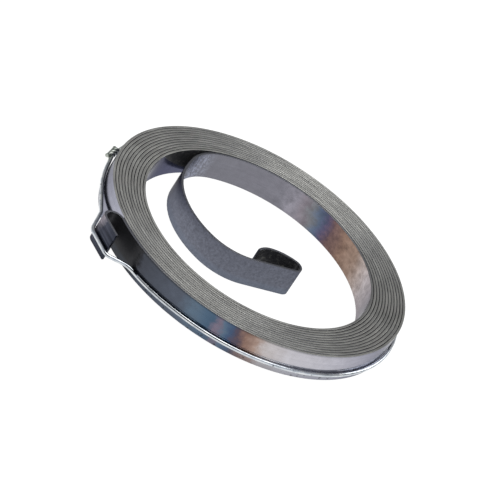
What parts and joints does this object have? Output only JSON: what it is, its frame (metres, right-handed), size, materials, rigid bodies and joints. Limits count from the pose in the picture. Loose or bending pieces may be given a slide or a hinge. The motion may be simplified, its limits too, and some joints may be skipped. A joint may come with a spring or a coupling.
{
  "type": "wound spiral strip spring",
  "caption": "Flat spiral spring of blued steel strip, wound tight and tied with a twisted steel wire, with a folded outer hook and a rolled eye on the free inner end.",
  "frame": {"origin": "on the coil's axis, at the level of the strip's lower edges, on which it rests", "axes": "+Z along the coil's axis; the outer hook lies towards -X and -Y, and the strip winds counter-clockwise inwards seen from +Z"},
  "size_m": [0.0758, 0.0748, 0.007],
  "materials": {
    "blued_spring_steel": "hardened and tempered strip, rolled smooth, with blue and bronze temper colours on its faces and bright grey rounded edges",
    "zinc_plated_wire": "soft drawn wire with bright zinc plating, lightly specked and scratched"
  },
  "bodies": {
    "root": {"spring_strip": "blued_spring_steel", "retaining_wire": "zinc_plated_wire"}
  },
  "joints": []
}
